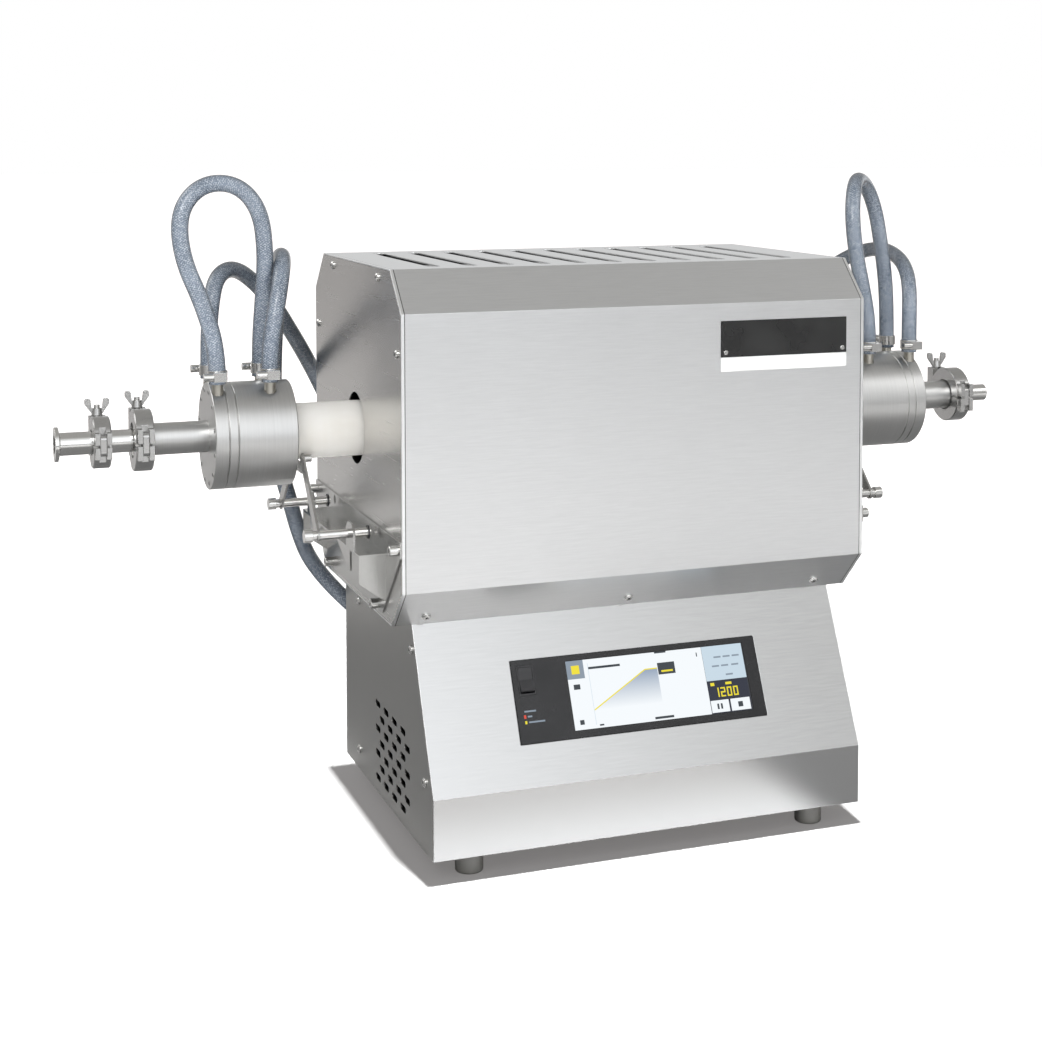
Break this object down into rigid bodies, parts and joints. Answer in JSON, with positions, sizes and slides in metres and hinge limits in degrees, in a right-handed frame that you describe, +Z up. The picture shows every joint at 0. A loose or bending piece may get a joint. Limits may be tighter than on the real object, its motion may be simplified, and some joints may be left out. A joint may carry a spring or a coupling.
{
  "type": "tube furnace",
  "caption": "Bench-top tube furnace: steel housing on a console base, ceramic work tube, water-cooled gas flanges and vacuum clamps at both ends.",
  "frame": {"origin": "on the bench, at the middle of the footprint of the rigid parts' bounding box", "axes": "+X along the work tube to the right-hand gas outlet, +Y to the back, +Z up"},
  "size_m": [0.927, 0.3965, 0.5865],
  "materials": {
    "steel_brushed": "brushed",
    "steel_polished": "polished",
    "screws": "polished",
    "blackened": "blackened",
    "rubber": "matt",
    "black_panel": "gloss",
    "black_plastic": "matt",
    "screen": "gloss",
    "aluminium": "satin",
    "ceramic": "satin",
    "fibre": "matt",
    "rods": "matt",
    "brass": "satin",
    "hose": "satin"
  },
  "bodies": {
    "furnace": {"base_cabinet": "steel_brushed", "front_panel": "steel_brushed", "rear_panel": "steel_brushed", "feet": "rubber", "control_panel": "black_panel", "touch_screen": "screen", "controller_housing": "black_plastic", "switch_frame": "black_plastic", "power_relay": "aluminium", "mains_inlet": "black_plastic", "housing_cover": "steel_brushed", "left_side_panel": "steel_polished", "right_side_panel": "steel_polished", "inner_casing": "steel_brushed", "insulation_halves": "fibre", "heating_rods": "rods", "tube_collars": "fibre", "thermocouple": "steel_brushed", "work_tube": "ceramic", "left_flange_body": "steel_brushed", "right_flange_body": "steel_brushed", "flange_rings": "steel_brushed", "seal_rings": "rubber", "left_flange_end": "steel_brushed", "right_flange_end": "steel_brushed", "left_port_adapter": "steel_polished", "left_open_port": "steel_polished", "right_gas_fitting": "steel_polished", "centring_rings": "steel_polished", "hose_nipples": "brass", "hose_clamps": "screws", "water_manifold": "aluminium", "button_screws": "screws", "cap_screws": "screws", "left_bracket": "steel_brushed", "right_bracket": "steel_brushed", "left_large_clamp_jaws": "aluminium", "left_small_clamp_jaws": "aluminium", "right_large_clamp_jaws": "aluminium", "left_loop_hose": "hose", "left_supply_hose": "hose", "left_return_hose": "hose", "right_loop_hose": "hose", "right_supply_hose": "hose", "right_return_hose": "hose"},
    "power_rocker": {"power_rocker": "black_plastic"},
    "left_large_clamp_bolt": {"left_large_clamp_bolt": "steel_polished"},
    "left_large_clamp_nut": {"left_large_clamp_nut": "aluminium"},
    "left_small_clamp_bolt": {"left_small_clamp_bolt": "steel_polished"},
    "left_small_clamp_nut": {"left_small_clamp_nut": "aluminium"},
    "right_large_clamp_bolt": {"right_large_clamp_bolt": "steel_polished"},
    "right_large_clamp_nut": {"right_large_clamp_nut": "aluminium"},
    "left_tube_support": {"left_support_rods": "steel_polished", "left_rod_clips": "blackened", "left_saddle": "steel_brushed"},
    "right_tube_support": {"right_support_rods": "steel_polished", "right_rod_clips": "blackened", "right_saddle": "steel_brushed"}
  },
  "joints": [
    {"name": "power_switch", "type": "hinge", "parent": "furnace", "child": "power_rocker", "pos_m": [-0.0875, -0.12806, 0.1506], "axis": [1, 0, 0], "range_deg": [0, 14]},
    {"name": "left_large_clamp_swing", "type": "hinge", "parent": "furnace", "child": "left_large_clamp_bolt", "pos_m": [-0.39, 0.0415, 0.3475], "axis": [-1, 0, 0], "range_deg": [0, 90]},
    {"name": "left_large_clamp_nut_turn", "type": "hinge", "parent": "left_large_clamp_bolt", "child": "left_large_clamp_nut", "pos_m": [-0.39, 0.0415, 0.3475], "axis": [0, 0, 1], "continuous": true},
    {"name": "left_small_clamp_swing", "type": "hinge", "parent": "furnace", "child": "left_small_clamp_bolt", "pos_m": [-0.425, 0.037, 0.349], "axis": [-1, 0, 0], "range_deg": [0, 90]},
    {"name": "left_small_clamp_nut_turn", "type": "hinge", "parent": "left_small_clamp_bolt", "child": "left_small_clamp_nut", "pos_m": [-0.425, 0.037, 0.349], "axis": [0, 0, 1], "continuous": true},
    {"name": "right_large_clamp_swing", "type": "hinge", "parent": "furnace", "child": "right_large_clamp_bolt", "pos_m": [0.425, 0.0415, 0.3475], "axis": [-1, 0, 0], "range_deg": [0, 90]},
    {"name": "right_large_clamp_nut_turn", "type": "hinge", "parent": "right_large_clamp_bolt", "child": "right_large_clamp_nut", "pos_m": [0.425, 0.0415, 0.3475], "axis": [0, 0, 1], "continuous": true},
    {"name": "left_support_slide", "type": "slide", "parent": "furnace", "child": "left_tube_support", "axis": [1, 0, 0], "range_m": [-0.006, 0.004]},
    {"name": "right_support_slide", "type": "slide", "parent": "furnace", "child": "right_tube_support", "axis": [1, 0, 0], "range_m": [-0.004, 0.006]}
  ]
}
